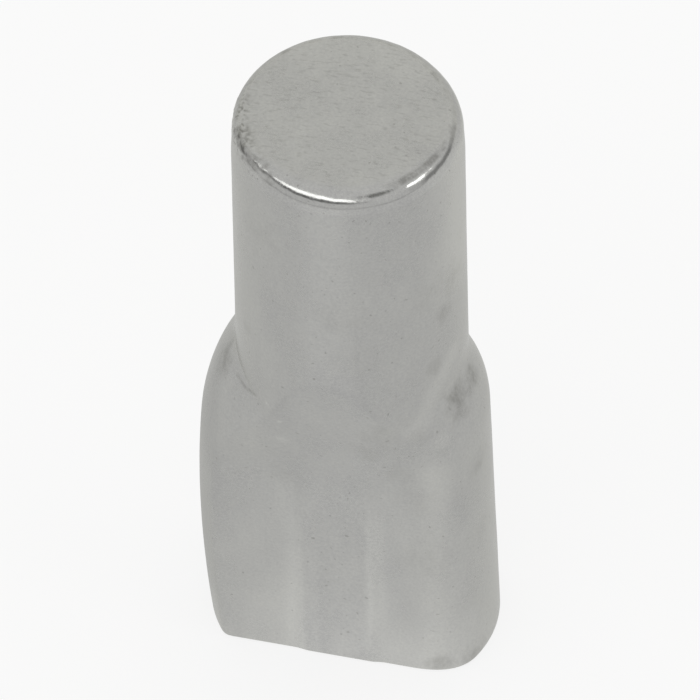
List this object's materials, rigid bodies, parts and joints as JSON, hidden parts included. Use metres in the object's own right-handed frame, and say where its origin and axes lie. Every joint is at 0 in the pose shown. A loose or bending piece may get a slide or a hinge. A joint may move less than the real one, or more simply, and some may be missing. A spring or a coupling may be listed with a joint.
{
  "type": "shelf support pin",
  "caption": "Nickel-plated steel shelf support pin: a round peg for a shelf hole, pressed flat at its other end into a wider blade that a shelf rests on.",
  "frame": {"origin": "on the peg's axis, at the blade's sheared end", "axes": "+Z along the peg's axis, from the blade to the peg's rounded end; +X across the blade, to the right seen from the front; the front pressed face looks along -Y and the back one along +Y"},
  "size_m": [0.0065, 0.005, 0.0162],
  "materials": {
    "nickel_steel": "satin nickel plate, lightly stained and scuffed"
  },
  "bodies": {
    "root": {"shelf_pin": "nickel_steel"}
  },
  "joints": []
}
